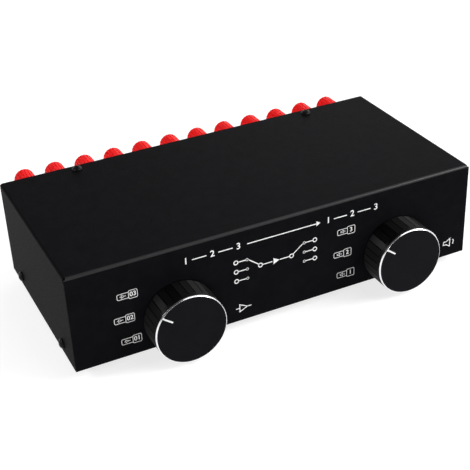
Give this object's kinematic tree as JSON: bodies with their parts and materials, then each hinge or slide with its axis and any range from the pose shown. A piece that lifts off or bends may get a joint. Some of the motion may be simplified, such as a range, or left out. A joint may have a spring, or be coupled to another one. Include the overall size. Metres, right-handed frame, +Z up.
{
  "type": "speaker selector switch",
  "caption": "Low black steel box with two large rotary knobs on its front and two rows of screw-down binding posts on its rear, for choosing an amplifier and a pair of speakers.",
  "frame": {"origin": "middle of the whole outline, on the plane of the feet", "axes": "+X right as seen from the front, +Y to the rear with the binding posts, +Z up"},
  "size_m": [0.244, 0.1486, 0.0645],
  "materials": {
    "powder_black": "fine powder coat, semi-matte",
    "screw_black": "black oxide, satin",
    "rubber": "matte",
    "knob_black": "glossy side, matte face",
    "ring_chrome": "polished",
    "pointer_white": "satin",
    "zinc_steel": "zinc plated",
    "gilt_brass": "gold plated",
    "tinned_brass": "tinned",
    "red_plastic": "moulded, slightly translucent",
    "black_plastic": "moulded",
    "switch_plastic": "moulded nylon",
    "laminate": "phenolic laminate",
    "board_green": "solder mask",
    "ribbon_grey": "vinyl"
  },
  "bodies": {
    "case": {"top_cover": "powder_black", "base_chassis": "powder_black", "rear_panel": "powder_black", "cover_screws": "screw_black", "rear_panel_screws": "screw_black", "rubber_feet": "rubber", "foot_screws": "screw_black", "switch_housings": "switch_plastic", "switch_bushings": "zinc_steel", "bushing_washers": "zinc_steel", "bushing_nuts": "zinc_steel", "detent_balls": "zinc_steel", "detent_springs": "zinc_steel", "switch_end_plates": "laminate", "switch_terminals": "tinned_brass", "switch_boards": "board_green", "post_stems": "gilt_brass", "red_post_collars": "red_plastic", "black_post_collars": "black_plastic", "post_inner_washers": "switch_plastic", "post_nuts": "zinc_steel", "terminal_board": "board_green", "switch_ribbons": "ribbon_grey", "link_ribbon": "ribbon_grey"},
    "amp_selector": {"amp_knob": "knob_black", "amp_knob_ring": "ring_chrome", "amp_pointer": "pointer_white", "amp_grub_screw": "screw_black", "amp_shaft": "zinc_steel", "amp_rotor": "switch_plastic"},
    "speaker_selector": {"speaker_knob": "knob_black", "speaker_knob_ring": "ring_chrome", "speaker_pointer": "pointer_white", "speaker_grub_screw": "screw_black", "speaker_shaft": "zinc_steel", "speaker_rotor": "switch_plastic"},
    "red_cap_01_body": {"red_cap_01": "red_plastic"},
    "red_cap_02_body": {"red_cap_02": "red_plastic"},
    "red_cap_03_body": {"red_cap_03": "red_plastic"},
    "red_cap_04_body": {"red_cap_04": "red_plastic"},
    "red_cap_05_body": {"red_cap_05": "red_plastic"},
    "red_cap_06_body": {"red_cap_06": "red_plastic"},
    "red_cap_07_body": {"red_cap_07": "red_plastic"},
    "red_cap_08_body": {"red_cap_08": "red_plastic"},
    "red_cap_09_body": {"red_cap_09": "red_plastic"},
    "red_cap_10_body": {"red_cap_10": "red_plastic"},
    "red_cap_11_body": {"red_cap_11": "red_plastic"},
    "red_cap_12_body": {"red_cap_12": "red_plastic"},
    "black_cap_01_body": {"black_cap_01": "black_plastic"},
    "black_cap_02_body": {"black_cap_02": "black_plastic"},
    "black_cap_03_body": {"black_cap_03": "black_plastic"},
    "black_cap_04_body": {"black_cap_04": "black_plastic"},
    "black_cap_05_body": {"black_cap_05": "black_plastic"},
    "black_cap_06_body": {"black_cap_06": "black_plastic"},
    "black_cap_07_body": {"black_cap_07": "black_plastic"},
    "black_cap_08_body": {"black_cap_08": "black_plastic"},
    "black_cap_09_body": {"black_cap_09": "black_plastic"},
    "black_cap_10_body": {"black_cap_10": "black_plastic"},
    "black_cap_11_body": {"black_cap_11": "black_plastic"},
    "black_cap_12_body": {"black_cap_12": "black_plastic"}
  },
  "joints": [
    {"name": "amp_selector_turn", "type": "hinge", "parent": "case", "child": "amp_selector", "pos_m": [-0.0615, -0.05715, 0.023], "axis": [0, -1, 0], "range_deg": [0, 60]},
    {"name": "speaker_selector_turn", "type": "hinge", "parent": "case", "child": "speaker_selector", "pos_m": [0.071, -0.05715, 0.023], "axis": [0, -1, 0], "range_deg": [0, 60]},
    {"name": "red_cap_01_unscrew", "type": "slide", "parent": "case", "child": "red_cap_01_body", "axis": [0, 1, 0], "range_m": [0, 0.005]},
    {"name": "red_cap_02_unscrew", "type": "slide", "parent": "case", "child": "red_cap_02_body", "axis": [0, 1, 0], "range_m": [0, 0.005]},
    {"name": "red_cap_03_unscrew", "type": "slide", "parent": "case", "child": "red_cap_03_body", "axis": [0, 1, 0], "range_m": [0, 0.005]},
    {"name": "red_cap_04_unscrew", "type": "slide", "parent": "case", "child": "red_cap_04_body", "axis": [0, 1, 0], "range_m": [0, 0.005]},
    {"name": "red_cap_05_unscrew", "type": "slide", "parent": "case", "child": "red_cap_05_body", "axis": [0, 1, 0], "range_m": [0, 0.005]},
    {"name": "red_cap_06_unscrew", "type": "slide", "parent": "case", "child": "red_cap_06_body", "axis": [0, 1, 0], "range_m": [0, 0.005]},
    {"name": "red_cap_07_unscrew", "type": "slide", "parent": "case", "child": "red_cap_07_body", "axis": [0, 1, 0], "range_m": [0, 0.005]},
    {"name": "red_cap_08_unscrew", "type": "slide", "parent": "case", "child": "red_cap_08_body", "axis": [0, 1, 0], "range_m": [0, 0.005]},
    {"name": "red_cap_09_unscrew", "type": "slide", "parent": "case", "child": "red_cap_09_body", "axis": [0, 1, 0], "range_m": [0, 0.005]},
    {"name": "red_cap_10_unscrew", "type": "slide", "parent": "case", "child": "red_cap_10_body", "axis": [0, 1, 0], "range_m": [0, 0.005]},
    {"name": "red_cap_11_unscrew", "type": "slide", "parent": "case", "child": "red_cap_11_body", "axis": [0, 1, 0], "range_m": [0, 0.005]},
    {"name": "red_cap_12_unscrew", "type": "slide", "parent": "case", "child": "red_cap_12_body", "axis": [0, 1, 0], "range_m": [0, 0.005]},
    {"name": "black_cap_01_unscrew", "type": "slide", "parent": "case", "child": "black_cap_01_body", "axis": [0, 1, 0], "range_m": [0, 0.005]},
    {"name": "black_cap_02_unscrew", "type": "slide", "parent": "case", "child": "black_cap_02_body", "axis": [0, 1, 0], "range_m": [0, 0.005]},
    {"name": "black_cap_03_unscrew", "type": "slide", "parent": "case", "child": "black_cap_03_body", "axis": [0, 1, 0], "range_m": [0, 0.005]},
    {"name": "black_cap_04_unscrew", "type": "slide", "parent": "case", "child": "black_cap_04_body", "axis": [0, 1, 0], "range_m": [0, 0.005]},
    {"name": "black_cap_05_unscrew", "type": "slide", "parent": "case", "child": "black_cap_05_body", "axis": [0, 1, 0], "range_m": [0, 0.005]},
    {"name": "black_cap_06_unscrew", "type": "slide", "parent": "case", "child": "black_cap_06_body", "axis": [0, 1, 0], "range_m": [0, 0.005]},
    {"name": "black_cap_07_unscrew", "type": "slide", "parent": "case", "child": "black_cap_07_body", "axis": [0, 1, 0], "range_m": [0, 0.005]},
    {"name": "black_cap_08_unscrew", "type": "slide", "parent": "case", "child": "black_cap_08_body", "axis": [0, 1, 0], "range_m": [0, 0.005]},
    {"name": "black_cap_09_unscrew", "type": "slide", "parent": "case", "child": "black_cap_09_body", "axis": [0, 1, 0], "range_m": [0, 0.005]},
    {"name": "black_cap_10_unscrew", "type": "slide", "parent": "case", "child": "black_cap_10_body", "axis": [0, 1, 0], "range_m": [0, 0.005]},
    {"name": "black_cap_11_unscrew", "type": "slide", "parent": "case", "child": "black_cap_11_body", "axis": [0, 1, 0], "range_m": [0, 0.005]},
    {"name": "black_cap_12_unscrew", "type": "slide", "parent": "case", "child": "black_cap_12_body", "axis": [0, 1, 0], "range_m": [0, 0.005]}
  ]
}
